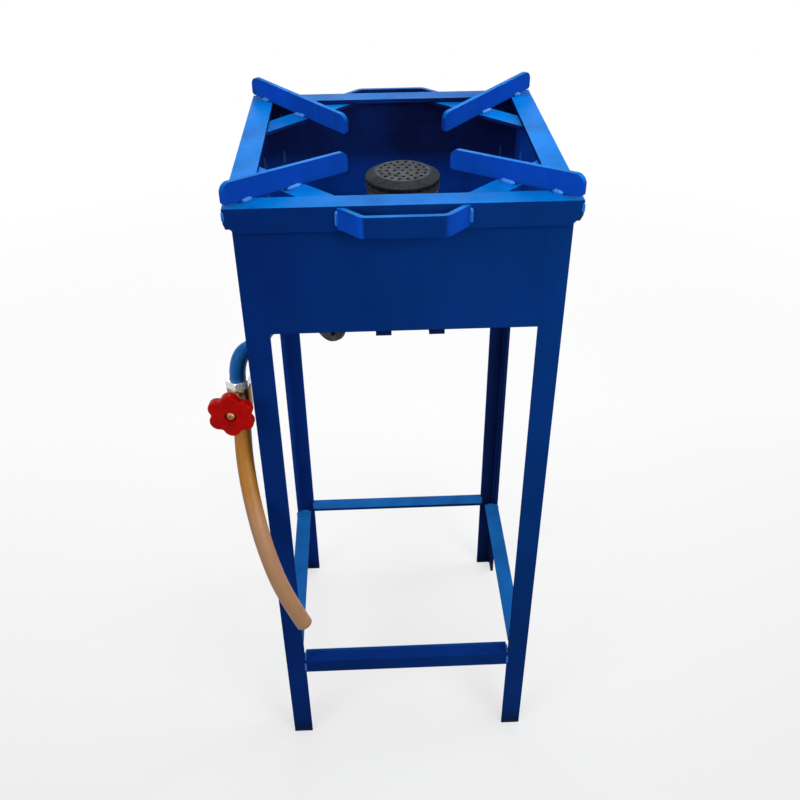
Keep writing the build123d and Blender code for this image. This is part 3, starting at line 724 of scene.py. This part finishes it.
def floor_paper():
    """Matt pale paper that keeps the shadow near the stand and fades to white far off."""
    g = Graph("floor_paper")
    g.tree.nodes.remove(g.shader)
    length = g.node("VectorMath", operation="LENGTH")
    g.feed(length.inputs[0], g.coords)
    away = length.outputs["Value"]
    fade = g.level(away, fade_start, fade_end, to_low=paper_near)
    paper = shader(g.tree, "ShaderNodeBsdfDiffuse", (0.9, 0.9, 0.9))
    fibre = g.level(g.noise(300.0), 0.3, 0.7, to_low=0.885, to_high=0.915)
    g.feed(paper.inputs["Color"], g.mix(fibre, (0.0, 0.0, 0.0), (1.0, 1.0, 1.0)))
    white = shader(g.tree, "ShaderNodeEmission", (1.0, 1.0, 1.0))
    backwards = g.level(g.split(g.coords)[1], front_y, back_y, to_low=white_front)
    outwards = g.level(away, ring_in, ring_out, to_low=white_front)
    g.feed(white.inputs["Strength"], g.math("MAXIMUM", backwards, outwards))
    seen = blend_shaders(g.tree, fade, paper, white)
    unseen = shader(g.tree, "ShaderNodeBsdfDiffuse", (0.35, 0.35, 0.35))
    both = blend_shaders(g.tree, seen_rays(g.tree), unseen, seen)
    g.tree.links.new(both.outputs[0], g.out.inputs[0])
    return g.material


def floor():
    data = bpy.data.meshes.new("floor")
    s = floor_size / 2
    data.from_pydata([(-s, -s, 0), (s, -s, 0), (s, s, 0), (-s, s, 0)], [], [(0, 1, 2, 3)])
    data.materials.append(floor_paper())
    made = bpy.data.objects.new("floor", data)
    bpy.context.collection.objects.link(made)


def studio_world():
    """White where it is seen, dim where it only lights."""
    world = bpy.data.worlds.new("studio")
    bpy.context.scene.world = world
    world.use_nodes = True
    tree = world.node_tree
    tree.nodes.clear()
    dim = shader(tree, "ShaderNodeBackground", (0.9, 0.95, 1.0), strength=world_light)
    white = shader(tree, "ShaderNodeBackground", (1.0, 1.0, 1.0), strength=1.0)
    both = blend_shaders(tree, seen_rays(tree), dim, white)
    out = tree.nodes.new("ShaderNodeOutputWorld")
    tree.links.new(both.outputs[0], out.inputs[0])


def lamp(name, place, aim, size, power, spread=math.pi):
    """A square lamp that points at the stand's axis, aim metres up."""
    data = bpy.data.lights.new(name, "AREA")
    data.shape = "SQUARE"
    data.spread = spread
    data.size = size
    data.energy = power
    made = bpy.data.objects.new(name, data)
    bpy.context.collection.objects.link(made)
    made.location = place
    to_stand = Vector((mid, 0.0, aim)) - Vector(place)
    made.rotation_euler = to_stand.to_track_quat("-Z", "Y").to_euler()


def camera():
    """The photograph's view of the stand."""
    forward = Vector((math.sin(eye_yaw) * math.cos(eye_pitch), math.cos(eye_yaw) * math.cos(eye_pitch),
                      -math.sin(eye_pitch)))
    level = Vector((math.cos(eye_yaw), -math.sin(eye_yaw), 0.0))
    upright = level.cross(forward)
    across = level * math.cos(eye_roll) + upright * math.sin(eye_roll)
    upward = upright * math.cos(eye_roll) - level * math.sin(eye_roll)
    eye = bpy.data.cameras.new("eye")
    eye.sensor_width = film_width
    eye.lens = eye_focal / picture_width * film_width
    eye.clip_start = 0.01
    eye.clip_end = 50.0
    made = bpy.data.objects.new("eye", eye)
    bpy.context.collection.objects.link(made)
    turn = Matrix((across, upward, -forward)).transposed()
    made.matrix_world = Matrix.Translation(Vector(eye_place)) @ turn.to_4x4()
    bpy.context.scene.camera = made


floor()
studio_world()
lamp("top_softbox", (0.2, 0.3, 4.0), aim=0.6, size=3.0, power=56.0)
lamp("front_fill", (0.6, -0.8, 0.85), aim=0.42, size=0.6, power=1.7, spread=narrow)
lamp("left_fill", (-1.5, -1.4, 1.4), aim=side_aim, size=1.2, power=3.6, spread=narrow)
lamp("right_fill", (2.2, 0.4, 1.6), aim=side_aim, size=1.2, power=3.4, spread=narrow)
lamp("rear_fill", (0.0, 2.6, 1.6), aim=side_aim, size=1.2, power=3.2, spread=narrow)
camera()
bpy.context.scene.view_settings.view_transform = "Standard"
